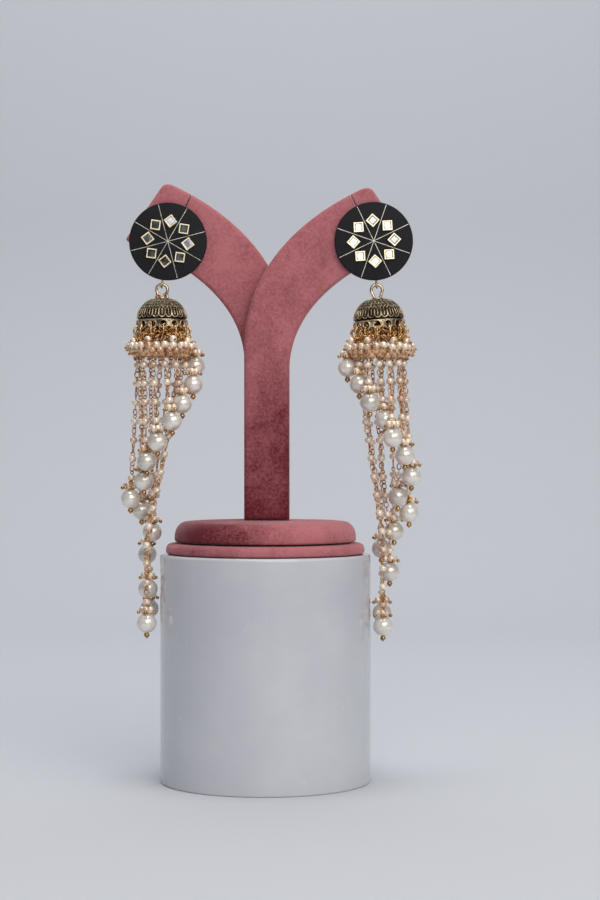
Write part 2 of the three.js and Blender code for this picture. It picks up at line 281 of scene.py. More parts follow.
def remapped(tree, value, *limits):
    # limits are from low, from high, to low and to high
    spread = tree.nodes.new("ShaderNodeMapRange")
    for label, limit in zip(("From Min", "From Max", "To Min", "To Max"), limits):
        spread.inputs[label].default_value = limit
    tree.links.new(value, spread.inputs["Value"])
    return spread.outputs["Result"]


def roughnessSpread(tree, shader, noise, low, high):
    tree.links.new(remapped(tree, noise.outputs["Fac"], 0.3, 0.7, low, high), shader.inputs["Roughness"])


def bumpFrom(tree, shader, noise, strength, distance):
    bump = tree.nodes.new("ShaderNodeBump")
    bump.inputs["Strength"].default_value = strength
    bump.inputs["Distance"].default_value = distance
    tree.links.new(noise.outputs["Fac"], bump.inputs["Height"])
    tree.links.new(bump.outputs["Normal"], shader.inputs["Normal"])


def blended(tree, first, second, share):
    # two noises added in the given share
    mix = tree.nodes.new("ShaderNodeMix")
    mix.inputs["Factor"].default_value = share
    tree.links.new(first.outputs["Fac"], mix.inputs["A"])
    tree.links.new(second.outputs["Fac"], mix.inputs["B"])
    return mix


def velvetMaterial(name, axis, start, end):
    # painted shade: the velvet is darker towards one end of the piece, from start to end in millimetres;
    # partly the lie of the pile, partly light that falls from above and from the right
    material, tree, shader = newMaterial(
        name, (0.4, 0.12, 0.15), 0.95, Sheen_Weight=0.8, Sheen_Roughness=0.28,
        Sheen_Tint=(1.0, 0.62, 0.66, 1), Specular_IOR_Level=0.08)
    patches = objectNoise(tree, 48, 4)
    patches.inputs["Distortion"].default_value = 0.6
    pile = objectNoise(tree, 900, 5, 0.75)
    both = blended(tree, patches, pile, 0.5)
    place = tree.nodes.new("ShaderNodeTexCoord")
    split = tree.nodes.new("ShaderNodeSeparateXYZ")
    tree.links.new(place.outputs["Object"], split.inputs["Vector"])
    # painted shade along the piece, added to the random pile tone
    pileAndShade = remapped(tree, split.outputs[axis], start * mm, end * mm, -0.2, 0.09)
    added = tree.nodes.new("ShaderNodeMath")
    tree.links.new(both.outputs["Result"], added.inputs[0])
    tree.links.new(pileAndShade, added.inputs[1])
    colourSpread(tree, shader, added, (0.150, 0.024, 0.034), (0.53, 0.185, 0.203), 0.3, 0.62, "Value")
    bumpFrom(tree, shader, pile, 0.8, 0.0005)
    return material


def riserMaterial():
    material, tree, shader = newMaterial(
        "whiteGloss", (0.62, 0.63, 0.67), 0.16, Coat_Weight=0.5, Coat_Roughness=0.05)
    haze = objectNoise(tree, 18, 5)
    colourSpread(tree, shader, haze, (0.56, 0.57, 0.62), (0.64, 0.65, 0.69))
    wipe = objectNoise(tree, 60, 6)
    roughnessSpread(tree, shader, wipe, 0.12, 0.28)
    return material


def blackMaterial():
    material, tree, shader = newMaterial(
        "matteBlack", (0.009, 0.009, 0.012), 0.55, Specular_IOR_Level=0.18)
    grain = objectNoise(tree, 900, 4)
    colourSpread(tree, shader, grain, (0.006, 0.006, 0.008), (0.014, 0.014, 0.018))
    roughnessSpread(tree, shader, grain, 0.45, 0.65)
    bumpFrom(tree, shader, grain, 0.2, 0.0001)
    return material


def metalMaterial(name, dark, light, low, high, scale=420):
    material, tree, shader = newMaterial(name, light, low, 1.0)
    wear = objectNoise(tree, scale, 5)
    colourSpread(tree, shader, wear, dark, light)
    roughnessSpread(tree, shader, wear, low, high)
    bumpFrom(tree, shader, wear, 0.15, 0.00008)
    return material


def mirrorMaterial(name, dark, light):
    material, tree, shader = newMaterial(
        name, light, 0.06, 0.85, Coat_Weight=0.8, Coat_Roughness=0.03)
    foil = objectNoise(tree, 330, 3)
    colourSpread(tree, shader, foil, dark, light)
    roughnessSpread(tree, shader, foil, 0.05, 0.2)
    return material


def pearlMaterial(name, dark, light, scale, low, high):
    material, tree, shader = newMaterial(
        name, light, 0.22, 0.16, Coat_Weight=1.0, Coat_Roughness=0.12, Coat_IOR=2.3)
    lustre = objectNoise(tree, scale, 2)
    colourSpread(tree, shader, lustre, dark, light, low, high)
    skin = objectNoise(tree, 1100, 4)
    roughnessSpread(tree, shader, skin, 0.2, 0.32)
    bumpFrom(tree, shader, skin, 0.06, 0.00005)
    return material


# painted shade: the boards darker lower down, the tiers darker on their left side, where less light
# falls
boardVelvet = velvetMaterial("boardVelvet", "Z", 105, 210)
upperVelvet = velvetMaterial("upperVelvet", "X", -26, 14)
lowerVelvet = velvetMaterial("lowerVelvet", "X", -160, 0)
whiteGloss = riserMaterial()
matteBlack = blackMaterial()
paleGold = metalMaterial("paleGoldInlay", (0.60, 0.56, 0.48), (0.98, 0.96, 0.90), 0.22, 0.42)
bezelGold = metalMaterial("bezelGold", (0.78, 0.68, 0.42), (0.99, 0.93, 0.68), 0.2, 0.42)
antiqueGold = metalMaterial("antiqueGold", (0.15, 0.10, 0.05), (0.90, 0.73, 0.49), 0.22, 0.38, 300)
reliefGold = metalMaterial("reliefGold", (0.09, 0.066, 0.040), (0.60, 0.50, 0.34), 0.24, 0.42, 620)
bandGold = metalMaterial("bandGold", (0.22, 0.15, 0.08), (0.96, 0.80, 0.55), 0.18, 0.32, 210)
shadedGold = metalMaterial("shadedGold", (0.012, 0.009, 0.006), (0.060, 0.042, 0.024), 0.35, 0.6, 500)
ringGold = metalMaterial("ringGold", (0.50, 0.25, 0.08), (0.96, 0.70, 0.36), 0.16, 0.32)
bailGold = metalMaterial("bailGold", (0.40, 0.28, 0.15), (0.90, 0.76, 0.56), 0.16, 0.3)
beadGold = metalMaterial("beadGold", (0.28, 0.145, 0.05), (0.72, 0.46, 0.20), 0.12, 0.22)
champagne = metalMaterial("champagneWire", (0.40, 0.18, 0.07), (0.94, 0.63, 0.36), 0.18, 0.34)
smallPearl = pearlMaterial("smallPearl", (0.57, 0.30, 0.14), (0.97, 0.81, 0.63), 130, 0.34, 0.52)
shadedPearl = pearlMaterial("shadedPearl", (0.42, 0.155, 0.04), (0.86, 0.50, 0.25), 150, 0.38, 0.6)
largePearl = pearlMaterial("largePearl", (0.60, 0.55, 0.47), (0.88, 0.82, 0.74), 90, 0.36, 0.6)
# painted reflections: each mirror's colour stands for the tone it reflects, from black to white
mirrors = {
    "dark": mirrorMaterial("darkMirror", (0.02, 0.02, 0.03), (0.10, 0.10, 0.12)),
    "dimReflection": mirrorMaterial("dimReflectionMirror", (0.09, 0.09, 0.09), (0.24, 0.25, 0.25)),
    "pale": mirrorMaterial("paleMirror", (0.52, 0.52, 0.63), (0.74, 0.74, 0.88)),
    "grey": mirrorMaterial("greyMirror", (0.26, 0.27, 0.31), (0.50, 0.51, 0.57)),
    "bright": mirrorMaterial("brightMirror", (0.80, 0.81, 0.85), (0.97, 0.97, 0.98)),
}
print("materials ready")


# Camera, floor and light

photoFrame = {
    "width": 600, "height": 900, "focalPixels": 2048.2,
    "distance": 850.0, "across": 14.3, "level": 137.0,
}


def placeCamera():
    data = bpy.data.cameras.new("photoCamera")
    data.sensor_fit = "VERTICAL"
    data.sensor_height = 36.0
    data.lens = data.sensor_height * photoFrame["focalPixels"] / photoFrame["height"]
    camera = linked("photoCamera", data)
    camera.location = (photoFrame["across"] * mm, -photoFrame["distance"] * mm,
                       photoFrame["level"] * mm)
    camera.rotation_euler = (math.pi / 2, 0, 0)
    bpy.context.scene.camera = camera


stageSizes = {
    "halfWidth": 2500.0, "front": -2500.0, "back": 700.0, "bend": 350.0, "wall": 2500.0,
    "bendSteps": 12,
}


def placeFloor():
    # pale floor that rises in a wide bend behind the object
    rows = [(stageSizes["front"], 0.0)]
    for step in range(stageSizes["bendSteps"] + 1):
        turn = step / stageSizes["bendSteps"] * math.pi / 2
        rows.append((stageSizes["back"] + stageSizes["bend"] * math.sin(turn),
                     stageSizes["bend"] * (1 - math.cos(turn))))
    rows.append((stageSizes["back"] + stageSizes["bend"], stageSizes["wall"]))
    half = stageSizes["halfWidth"]
    points = [(x, y, z) for y, z in rows for x in (-half, half)]
    faces = [(2 * row, 2 * row + 1, 2 * row + 3, 2 * row + 2) for row in range(len(rows) - 1)]
    mesh = bpy.data.meshes.new("paleFloor")
    mesh.from_pydata((np.array(points) * mm).tolist(), [], faces)
    mesh.polygons.foreach_set("use_smooth", np.full(len(faces), True))
    mesh.materials.append(newMaterial("palePaper", (0.62, 0.64, 0.68), 0.85)[0])
    floor = linked("paleFloor", mesh)


def placeLight(name, location, target, size, power, colour=(1, 1, 1)):
    data = bpy.data.lights.new(name, "AREA")
    data.shape = "DISK"
    data.size = size
    data.energy = power
    data.color = colour
    light = linked(name, data)
    light.location = location
    direction = Vector(target) - Vector(location)
    light.rotation_euler = direction.to_track_quat("-Z", "Y").to_euler()


def placeWorld():
    world = bpy.data.worlds.new("softRoom")
    world.use_nodes = True
    background = world.node_tree.nodes["Background"]
    background.inputs["Color"].default_value = (0.84, 0.85, 0.90, 1)
    background.inputs["Strength"].default_value = 0.2
    bpy.context.scene.world = world
    bpy.context.scene.view_settings.view_transform = "Standard"


placeCamera()
placeFloor()
placeWorld()
placeLight("keyLight", (0.25, -1.2, 0.73), (0, 0, 0.16), 1.1, 7.5, (1.0, 0.97, 0.93))
placeLight("rightLight", (0.86, -0.93, 0.86), (0, 0, 0.15), 1.0, 3.4, (1.0, 0.98, 0.96))
placeLight("topLight", (-0.1, 0.5, 1.2), (0, 0, 0.15), 1.6, 4.6)
placeLight("wallLight", (0, -0.1, 1.9), (0, 1.0, 0.45), 1.2, 13)
print("camera and light ready")


# Riser and velvet tiers, turned with soft edges

riser = {"around": 160, "edge": (1.2, 1.2), "footEdge": 0.8}
tiers = {
    "around": 140, "lowerEdge": (2.1, 2.1), "upperEdge": (4.8, 6.2), "footEdge": 1.0, "crown": 0.5,
    "sag": 0.25, "waves": ((5, 1.1), (11, 0.4)),  # how many round the tier, and where they start
}


def roundProfile(box, edge, footEdge, crown, rows=6):
    low, high = (np.array(corner) / mm for corner in box)
    radius = (high[0] - low[0]) / 2
    profile = [(0, low[2]), (radius - footEdge, low[2])]
    for step in range(1, rows + 1):
        turn = step / rows * math.pi / 2
        profile.append((radius - footEdge + footEdge * math.sin(turn),
                        low[2] + footEdge * (1 - math.cos(turn))))
    top = high[2] - crown
    for step in range(rows + 1):
        turn = step / rows * math.pi / 2
        profile.append((radius - edge[0] * (1 - math.cos(turn)),
                        top - edge[1] * (1 - math.sin(turn))))
    for step in range(1, rows + 1):
        share = 1 - step / rows
        profile.append(((radius - edge[0]) * share, top + crown * (1 - share ** 2)))
    return profile


def makeRiser():
    profile = roundProfile(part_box("riser"), riser["edge"], riser["footEdge"], 0.0)
    piece = makePiece("riserBlock", [(turnedShell(profile, riser["around"]), 0)], [whiteGloss])
    finishPiece(piece, "stand", "riser_white", "riser")


def makeTier(node, edge, material):
    profile = roundProfile(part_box(node), edge, tiers["footEdge"], tiers["crown"])
    points, faces = turnedShell(profile, tiers["around"])
    turn = np.arctan2(points[:, 1], points[:, 0])
    wave = sum(0.5 * np.sin(count * turn + phase) for count, phase in tiers["waves"])
    reach = np.hypot(points[:, 0], points[:, 1])
    shrink = 1 - tiers["sag"] * (0.5 + 0.5 * wave) / np.maximum(reach, 1)
    points[:, :2] *= shrink[:, None]  # slack in the stretched cloth
    piece = makePiece(node + "Velvet", [((points, faces), 0)], [material])
    finishPiece(piece, "stand", "velvet", node)


makeRiser()
makeTier("base_lower", tiers["lowerEdge"], lowerVelvet)
makeTier("base_upper", tiers["upperEdge"], upperVelvet)
print("riser and tiers ready")


# Velvet boards: the outline of each solid, with a rolled edge

board = {
    "postMiddle": 0.6, "postWidth": 18.7, "depth": 7.0, "postHeight": 61.8, "innerBendRise": 8.0,
    "armReach": 59.0, "armRise": 51.9, "armEndWidth": 29.5, "armEndLean": 55.5, "armCorner": 2.2,
    "cornerDrop": 1.1, "tipCorner": 3.9, "leftArmLift": 2.5, "roll": 1.7,
    "slitWidth": 0.6, "slitLean": 26.0, "slitLength": 30.0, "seatRadius": 0.8,
    # where the arm's two long curves are pulled, in shares of their reach and rise
    "outerPull": 0.42, "outerLead": (0.35, 0.77), "innerPull": (0.4, 0.78), "innerLead": 0.47,
    # the blunt tip: how far back it starts, and how full its bend is
    "tipBack": 0.75, "tipBend": 0.6,
}


def bezier(start, pull, lead, end, count):
    share = np.linspace(0, 1, count)[:, None]
    start, pull, lead, end = (np.array(point, float) for point in (start, pull, lead, end))
    return ((1 - share) ** 3 * start + 3 * share * (1 - share) ** 2 * pull
            + 3 * share ** 2 * (1 - share) * lead + share ** 3 * end)


def boardOutline(lift):
    # outward across, height above the post's foot
    half = board["postWidth"] / 2
    bendFoot = board["postHeight"] + lift
    rise, corner, drop = board["armRise"], board["armCorner"], board["cornerDrop"]
    low = np.array([board["armReach"], bendFoot + rise])
    lean = math.radians(board["armEndLean"])
    along = np.array([-math.cos(lean), math.sin(lean)])
    tip = low + along * board["armEndWidth"]
    innerFoot = bendFoot + board["innerBendRise"]
    innerReach, innerRise = tip[0] + half, tip[1] - innerFoot
    reach = low[0] - half
    pull, lead = board["outerPull"], board["outerLead"]
    outer = bezier((half, bendFoot), (half, bendFoot + pull * rise),
                   (half + lead[0] * reach, bendFoot + lead[1] * rise), low - [corner, drop], 28)
    lowCorner = bezier(outer[-1], low, low, low + along * corner, 7)[1:]
    size, bend = board["tipCorner"], board["tipBend"]
    blunt = tip - along * size * board["tipBack"]
    eased = tip - [size, size * drop / corner]
    tipCorner = bezier(blunt, blunt + bend * (tip - blunt), eased + bend * (tip - eased), eased, 11)
    pull, lead = board["innerPull"], board["innerLead"]
    inner = bezier(tipCorner[-1], (-half + pull[0] * innerReach, innerFoot + pull[1] * innerRise),
                   (-half, innerFoot + lead * innerRise), (-half, innerFoot), 60)[1:]
    return np.concatenate([[(-half, 0), (half, 0)], outer, lowCorner, tipCorner, inner])


def slitTool(side):
    # thin slot from the upper edge to a round seat for the pin
    width, depth = board["slitWidth"], board["depth"] * 4
    slot = bmesh.new()
    length, seat = board["slitLength"], board["seatRadius"]
    bmesh.ops.create_cube(slot, size=1.0, matrix=Matrix.Translation((0, 0, length / 2))
                          @ Matrix.Diagonal((width, depth, length, 1)))
    bmesh.ops.create_cone(slot, cap_ends=True, segments=20, radius1=seat, radius2=seat, depth=depth,
                          matrix=Matrix.Rotation(math.pi / 2, 4, "X"))
    lean = -sides[side]["outward"] * math.radians(board["slitLean"])
    place = Matrix.Translation(discPlace(side).translation) @ Matrix.Rotation(lean, 4, "Y")
    slot.transform(place @ Matrix.Scale(mm, 4))
    mesh = bpy.data.meshes.new(side + "Slit")
    slot.to_mesh(mesh)
    slot.free()
    return linked(side + "Slit", mesh)


def evaluatedMesh(thing):
    return bpy.data.meshes.new_from_object(thing.evaluated_get(bpy.context.evaluated_depsgraph_get()))


def cutWith(piece, tool):
    cut = piece.modifiers.new("slit", "BOOLEAN")
    cut.operation = "DIFFERENCE"
    cut.solver = "EXACT"
    cut.use_self = True
    cut.object = tool
    mesh = evaluatedMesh(piece)
    # the flat faces stay flat beside the rolled edge, and the slit keeps its sharp edge
    normals = np.empty(len(mesh.polygons) * 3)
    mesh.polygons.foreach_get("normal", normals)
    mesh.polygons.foreach_set("use_smooth", np.abs(normals[1::3]) < 0.999)
    mesh.set_sharp_from_angle(angle=math.radians(40))
    piece.modifiers.clear()
    piece.data = mesh
    bpy.data.objects.remove(tool)


def makeBoard(name, side, node, lift):
    outward = sides[side]["outward"]
    low, high = (np.array(corner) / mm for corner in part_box(node))
    outline = boardOutline(lift)
    curve = bpy.data.curves.new(name, "CURVE")
    curve.dimensions = "2D"
    curve.fill_mode = "BOTH"
    curve.extrude = (board["depth"] / 2 - board["roll"]) * mm
    curve.bevel_depth = board["roll"] * mm
    curve.bevel_resolution = 7
    curve.offset = -board["roll"] * mm
    line = curve.splines.new("POLY")
    line.points.add(len(outline) - 1)
    line.points.foreach_set("co", np.column_stack([
        outline * mm, np.zeros(len(outline)), np.ones(len(outline))]).ravel())
    line.use_cyclic_u = True
    holder = linked(name + "Curve", curve)
    mesh = evaluatedMesh(holder)
    bpy.data.objects.remove(holder)
    mesh.transform(Matrix.Rotation(math.pi / 2, 4, "X"))
    mesh.transform(Matrix.Diagonal((outward, 1, 1, 1)))
    mesh.transform(Matrix.Translation((board["postMiddle"] * mm, (low[1] + high[1]) / 2 * mm,
                                       low[2] * mm)))
    mesh.materials.clear()
    mesh.materials.append(boardVelvet)
    tidyMesh(mesh)
    mesh.polygons.foreach_set("use_smooth", np.full(len(mesh.polygons), True))
    piece = linked(name, mesh)
    cutWith(piece, slitTool(side))
    finishPiece(piece, "stand", "velvet", node)


# Where the parts of an earring lie, worked out from the solids

def solidPoints(node):
    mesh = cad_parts[node].data
    points = np.empty(len(mesh.vertices) * 3)
    mesh.vertices.foreach_get("co", points)
    return points.reshape(-1, 3) / mm


def discPlace(side):
    # middle of the disc, turned as it hangs on its pin; its top edge gives the depth
    low, high = (np.array(corner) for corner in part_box(side + "_inlay_star"))
    points = solidPoints(side + "_stud_disc")
    topEdge = points[points[:, 2] > points[:, 2].max() - earring["discThickness"] / 4, 1]
    depth = (topEdge.min() + topEdge.max()) / 2 * mm
    turn = -sides[side]["outward"] * math.radians(sides[side]["discTurn"])
    place = Matrix.Translation(((low[0] + high[0]) / 2, depth, (low[2] + high[2]) / 2))
    return place @ Matrix.Rotation(turn, 4, "Y")


def pivotPlace(side):
    middle = discPlace(side) @ Vector((0, 0, -eyeDrop * mm))
    return (middle - Vector((0, 0, earring["bailDrop"] * mm))) / mm


def crownPlace(side):
    turn = -sides[side]["outward"] * math.radians(sides[side]["tilt"])
    return Matrix.Translation(pivotPlace(side) * mm) @ Matrix.Rotation(turn, 4, "Y")


def inMillimetres(place):
    matrix = place.copy()
    matrix.translation = place.translation / mm
    return matrix


makeBoard("frontBoard", "right", "board_front", 0.0)
makeBoard("backBoard", "left", "board_back", board["leftArmLift"])
print("boards ready")


# Stud: black disc, wire eye, pin, inlay lines and square stones

stud = {"edge": 0.45, "around": 120, "pinRadius": 0.5, "pinLength": 9.6, "pinTaper": 0.4, "pinTip": 0.6}
# shoulder and crest: how high and how wide each strip still is where it rounds over
inlay = {
    "length": 31.4, "width": 0.22, "proud": 0.14, "sunk": 0.2, "shoulder": 0.6, "crest": 0.5,
    "lines": 4,
}
stones = {
    "ring": 8.4, "bezelSide": 4.1, "bezelWall": 0.48, "bezelHeight": 1.15, "table": 2.3, "crown": 0.3,
    "girdle": 0.7,  # share of the bezel's height
    # reach of the stone's corners and sides at the girdle and at the table
    "girdleReach": (1.0, 0.74), "tableReach": (1.28, 0.98),
    # painted reflection: the tone each mirror reflects, painted into its colour, clockwise from the top
    # stone
    "left": ["pale", "dark", "pale", "dimReflection", "dark", "dark", "dimReflection", "dark"],
    "right": ["grey", "bright", "grey", "bright", "bright", "bright", "bright", "bright"],
}


def makeStudDisc(side):
    half, edge = earring["discThickness"] / 2, stud["edge"]
    rows = [(0, -half), (earring["discRadius"] - edge, -half)]
    for step in range(1, 6):
        turn = step / 5 * math.pi / 2
        rows.append((earring["discRadius"] - edge + edge * math.sin(turn),
                     -half + edge * (1 - math.cos(turn))))
    rows += [(radius, -level) for radius, level in rows[::-1]]
    face = moved(turnedShell(rows, stud["around"]), Matrix.Rotation(math.pi / 2, 4, "X"))
    eye = loopWire(earring["eyeRadius"], earring["eyeWire"], 36, 12)
    eye = moved(eye, Matrix.Translation((0, 0, -eyeDrop)) @ Matrix.Rotation(math.pi / 2, 4, "Z"))
    pinEnd, pinRadius = stud["pinLength"], stud["pinRadius"]
    pin = wireAlong([(0, 0, 0), (0, pinEnd - stud["pinTaper"], 0), (0, pinEnd, 0)],
                    [pinRadius, pinRadius, pinRadius * stud["pinTip"]], 16)
    piece = makePiece(side + "StudDisc", [(face, 0), (eye, 1), (pin, 1)], [matteBlack, antiqueGold],
                      inMillimetres(discPlace(side)))
    finishPiece(piece, "stand", "disc_black", side + "_stud_disc")


def makeInlay(side):
    # thin strips let into the disc, each a little proud of it
    chunks = []
    faceLevel = -earring["discThickness"] / 2
    for line in range(inlay["lines"]):
        halfLength, halfWidth = inlay["length"] / 2, inlay["width"] / 2
        rise = [(halfWidth, inlay["sunk"]), (halfWidth, -inlay["proud"] * inlay["shoulder"]),
                (halfWidth * inlay["crest"], -inlay["proud"])]
        outline = [(-across, depth) for across, depth in rise] + rise[::-1]
        points = np.array([(end, depth + faceLevel, across) for end in (-halfLength, halfLength)
                           for across, depth in outline])
        faces = gridFaces(2, len(outline))
        caps = triangles([list(range(6))[::-1], [6 + step for step in range(6)]])
        strip = (points, np.concatenate([faces, caps]))
        turn = (line + 0.5) * math.pi / inlay["lines"]
        chunks.append((moved(strip, Matrix.Rotation(turn, 4, "Y")), 0))
    piece = makePiece(side + "Inlay", chunks, [paleGold], inMillimetres(discPlace(side)), smooth=False)
    finishPiece(piece, "stand", "inlay_gold", side + "_inlay_star")


def squareRing(half, level):
    return [(half, 0, level), (0, half, level), (-half, 0, level), (0, -half, level)]


def makeStones(side):
    # square bezel with its corner outward and a faceted stone inside
    diagonal = math.sqrt(0.5) * stones["bezelSide"]
    inside = diagonal - stones["bezelWall"] * math.sqrt(2)
    height = stones["bezelHeight"]
    rows = [squareRing(diagonal, 0), squareRing(diagonal, height * 0.85),
            squareRing(diagonal * 0.95, height), squareRing(inside, height),
            squareRing(inside * 0.97, height * 0.55)]
    bezel = (np.array(rows).reshape(-1, 3), gridFaces(len(rows), 4))
    lower, upper = [], []
    for corner in range(8):
        turn = corner * math.pi / 4
        level = height * stones["girdle"]
        reach = inside * stones["girdleReach"][corner % 2]
        lower.append((reach * math.cos(turn), reach * math.sin(turn), level))
        table = stones["table"] / 2 * stones["tableReach"][corner % 2]
        upper.append((table * math.cos(turn), table * math.sin(turn), level + stones["crown"]))
    table = triangles([[8 + at for at in range(8)]])
    gem = (np.array(lower + upper), np.concatenate([gridFaces(2, 8), table]))
    for number, tone in enumerate(stones[side]):
        turn = number * 2 * math.pi / len(stones[side])
        seat = Matrix.Translation((stones["ring"] * math.sin(turn), -earring["discThickness"] / 2,
                                   stones["ring"] * math.cos(turn)))
        place = seat @ Matrix.Rotation(turn, 4, "Y") @ Matrix.Rotation(math.pi / 2, 4, "X")
        piece = makePiece(f"{side}Stone{number + 1}", [(bezel, 0), (gem, 1)], [bezelGold, mirrors[tone]],
                          inMillimetres(discPlace(side)) @ place, smooth=False)
        finishPiece(piece, "stand", "mirror_stone", f"{side}_stone_{number + 1}")


# Bail: wire loop and collar

bail = {
    "wire": 0.64, "pinch": 1.94, "pinchLevel": -4.35, "omegaFoot": 2.35, "footSunk": 0.25,
    "dropFoot": 1.2, "turnEnd": 34.0, "under": (205, 335), "collarSwell": 0.6,
    # each row of the collar: radius, height over the foot and share of the swell
    "collar": [(0, -0.45, 0), (2.3, -0.45, 0), (2.35, -0.2, 0), (1.8, 0.05, 0.4), (1.1, 0.2, 0.9),
               (0, 0.22, 1)],
}


def makeBail(side):
    # left: a round ring on flared legs; right: a drop whose legs meet the dome
    radius = earring["bailRadius"]
    foot = -(2 * radius + earring["collarHeight"])
    path, chunks = [], []
    for step in range(37):
        turn = math.radians(180 + bail["turnEnd"] - step / 36 * (180 + 2 * bail["turnEnd"]))
        path.append((radius * math.cos(turn), 0.0, radius * math.sin(turn) - radius))
    if side == "left":
        for reach, level in ((bail["pinch"], bail["pinchLevel"]),
                             (bail["omegaFoot"], foot - bail["footSunk"])):
            path = [(-reach, 0.0, level)] + path + [(reach, 0.0, level)]
        under = [(radius * math.cos(turn), 0.0, radius * math.sin(turn) - radius)
                 for turn in np.radians(np.linspace(*bail["under"], 25))]
        chunks.append((wireAlong(under, bail["wire"], 14), 0))
    else:
        path = [(-bail["dropFoot"], 0.0, foot)] + path + [(bail["dropFoot"], 0.0, foot)]
    chunks.append((wireAlong(smoothed(path, 90), bail["wire"], 14), 0))
    swell = bail["collarSwell"] if side == "left" else 0.0
    collar = turnedShell([(reach, foot + level + swell * share)
                          for reach, level, share in bail["collar"]], 32)
    chunks.append((collar, 1))
    piece = makePiece(side + "Bail", chunks, [bailGold, antiqueGold], inMillimetres(crownPlace(side)))
    finishPiece(piece, side + "_drop", "antique_gold", side + "_bail")


# Dome: bell with granules, a lattice, petals and the pierced band

domeRelief = {
    "around": 168, "crownWidth": 0.98, "crownBend": (1.45, 0.34),
    # petals: petalHalf is a share of a petal's width, petalSide of the straight side's length
    "petals": 23, "petalHeight": 3.3, "petalWire": 0.2, "petalRise": 0.12, "petalHalf": 0.47,
    "petalSide": 0.8, "petalProud": 0.08, "tongueWire": 0.26, "tongueFoot": 1.05, "tongueProud": 0.04,
    # chevrons and granules: chevronTop and rowCrowding are shares of the crown's height
    "chevronRows": 4, "chevronWire": 0.115, "chevronFoot": 0.35, "chevronTop": 0.975,
    "rowCrowding": 0.8, "rowGap": 0.1, "fewestChevrons": 14, "chevronPitch": 1.45,
    "chevronLayer": 0.32, "chevronProud": 0.05, "granule": 0.17, "granulePitch": 0.62,
    "granuleDrop": 0.05, "granuleProud": 0.06,
    "holeBorder": 0.27, "scallop": 2.0, "scallopReach": 1.75, "stud": 0.24, "studDrop": 0.75,
}


def crownRadius(level):
    # outer radius of the crown at a height above the rim
    share = (np.asarray(level, float) - crownFoot) / (earring["domeHeight"] - crownFoot)
    start, end = domeRelief["crownBend"]
    bend = np.maximum(1 - np.clip(share, 0, 1) ** start, 0) ** end
    return earring["domeRadius"] * domeRelief["crownWidth"] * bend


def crownPoint(turn, level, proud=0.0):
    radius = crownRadius(level) + proud
    return np.stack([radius * np.cos(turn), radius * np.sin(turn),
                     np.broadcast_to(level, np.shape(turn))], -1)


def domeShell():
    # the outside and the inside of the bell, from the top of the band up
    foot, band = crownFoot, earring["bandHeight"]
    radius, wall = earring["domeRadius"], earring["domeWall"]
    groove = radius - earring["grooveDepth"]
    outer = [(radius, band), (radius - 0.25, band + 0.12), (groove, band + 0.3), (groove, foot - 0.2)]
    shares = 1 - (1 - np.linspace(0, 1, 34)) ** 2.4
    levels = foot + (earring["domeHeight"] - foot) * shares
    outer += [(float(crownRadius(level)), float(level)) for level in levels]
    inner = [(radius - wall, band), (radius - wall - 0.3, foot)]
    for share, level in zip(shares[1:], levels[1:]):
        inner.append((max(float(crownRadius(level)) - wall, 0), float(level) - wall * share))
    return turnedShell(outer, domeRelief["around"]), turnedShell(inner, domeRelief["around"])


def bandPanel():
    # one panel of the band round its hole: points across, up and out, with a scalloped foot
    half = math.pi / earring["holeCount"] * earring["domeRadius"]
    high, count = earring["bandHeight"] - earring["holeHeight"], 48
    turn = np.linspace(0, 2 * math.pi, count, endpoint=False) + math.pi / count
    across, up = np.abs(np.cos(turn)), np.sin(turn)
    notch = math.sqrt(domeRelief["scallop"] ** 2 - domeRelief["scallopReach"] ** 2)
    side = half / across
    below = np.where(across * domeRelief["scallop"] <= domeRelief["scallopReach"],
                     domeRelief["scallop"], notch / np.maximum(-up, 1e-6))
    limit = np.minimum(side, np.where(up > 0, high / np.maximum(up, 1e-6), below))
    rows = []
    for share in (0.0, 0.25, 0.5, 0.75, 1.0):
        reach = earring["holeRadius"] + (limit - earring["holeRadius"]) * share
        rows.append(np.stack([reach * np.cos(turn), reach * up], -1))
    for corner in ((half, high), (-half, high), (half, -notch), (-half, -notch)):
        rows[-1][np.argmin(np.linalg.norm(rows[-1] - corner, axis=1))] = corner
    front = [np.column_stack([row, np.zeros(count)]) for row in rows]
    back = [np.column_stack([row, np.full(count, -earring["domeWall"])]) for row in rows]
    walls = gridFaces(2 * len(rows), count)
    points = np.concatenate(front[::-1] + back)
    # the foot closes between front and back; the sides and the top meet their neighbours
    edge = rows[-1]
    foot = [(at, (at + 1) % count) for at in range(count)
            if up[at] < 0 and up[(at + 1) % count] < 0
            and not (abs(edge[at][0]) > half - 1e-6 and abs(edge[(at + 1) % count][0]) > half - 1e-6)]
    last = (2 * len(rows) - 1) * count
    closing = triangles([(one, two, last + two, last + one) for one, two in foot])
    return points, np.concatenate([walls, closing])


def wrapped(chunk, turn):
    # bends a flat panel round the band at a hole
    points = chunk[0]
    angle = turn + points[:, 0] / earring["domeRadius"]
    radius = earring["domeRadius"] + points[:, 2]
    return np.stack([radius * np.cos(angle), radius * np.sin(angle),
                     points[:, 1] + earring["holeHeight"]], -1), chunk[1]


def holeTurn(number):
    return math.pi + math.radians(earring["firstHoleTurn"]) + number * 2 * math.pi / earring["holeCount"]


def turnedRing(radius, wire, around=112):
    ring = loopWire(radius, wire, around, 8)
    return ring[0][:, [0, 2, 1]], ring[1]


